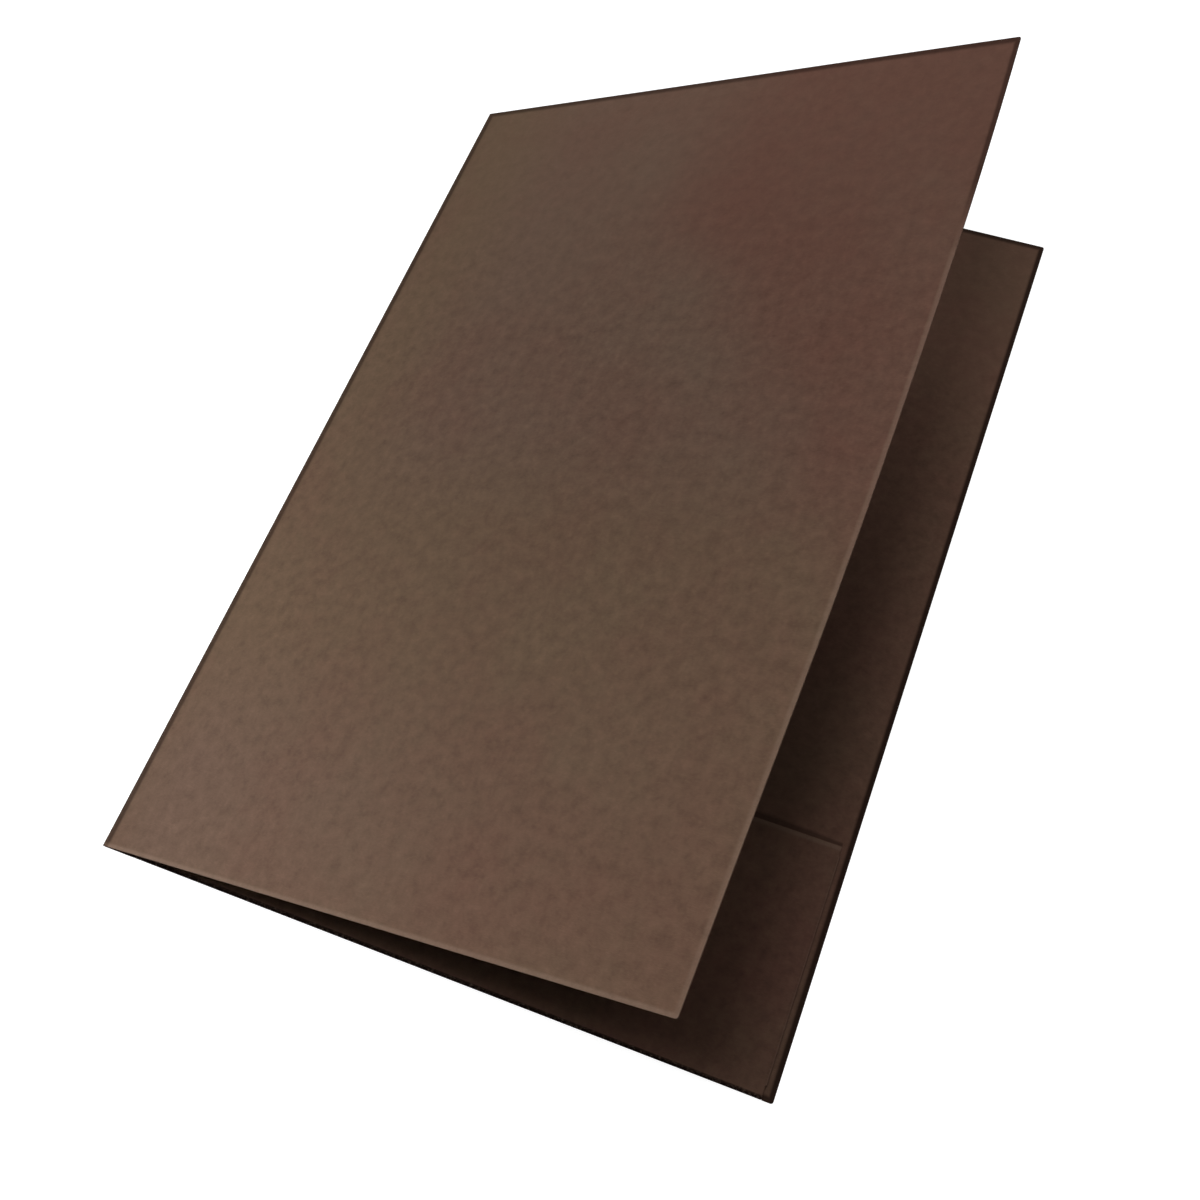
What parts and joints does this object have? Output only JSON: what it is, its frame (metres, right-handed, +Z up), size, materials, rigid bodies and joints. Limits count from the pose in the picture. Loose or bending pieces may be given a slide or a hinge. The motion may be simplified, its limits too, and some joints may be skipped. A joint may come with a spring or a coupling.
{
  "type": "file folder",
  "caption": "Plain dark brown card folder for A4 sheets, part open about its spine fold, with a glued pocket low on the inside of the back cover.",
  "frame": {"origin": "centre of the back cover's underside, on the surface that the folder lies on", "axes": "+X from the spine to the free edge of the back cover, +Y up the spine from the pocket's end to the top, +Z up from the surface that the folder lies on"},
  "size_m": [0.22, 0.31, 0.0972],
  "materials": {
    "card": "matt uncoated, with a fine fibre grain",
    "glue": "dried glue, satin"
  },
  "bodies": {
    "back": {"back_cover": "card", "spine_fold": "card", "pocket_panel": "card", "pocket_bottom_fold": "card", "pocket_side_fold": "card", "pocket_glue_tab": "card", "pocket_glue": "glue"},
    "front": {"front_cover": "card"}
  },
  "joints": [
    {"name": "spine_hinge", "type": "hinge", "parent": "back", "child": "front", "pos_m": [-0.10925, 0, 0.00075], "axis": [0, -1, 0], "range_deg": [-23.9, 154.1], "deforming": ["spine_fold"]}
  ]
}
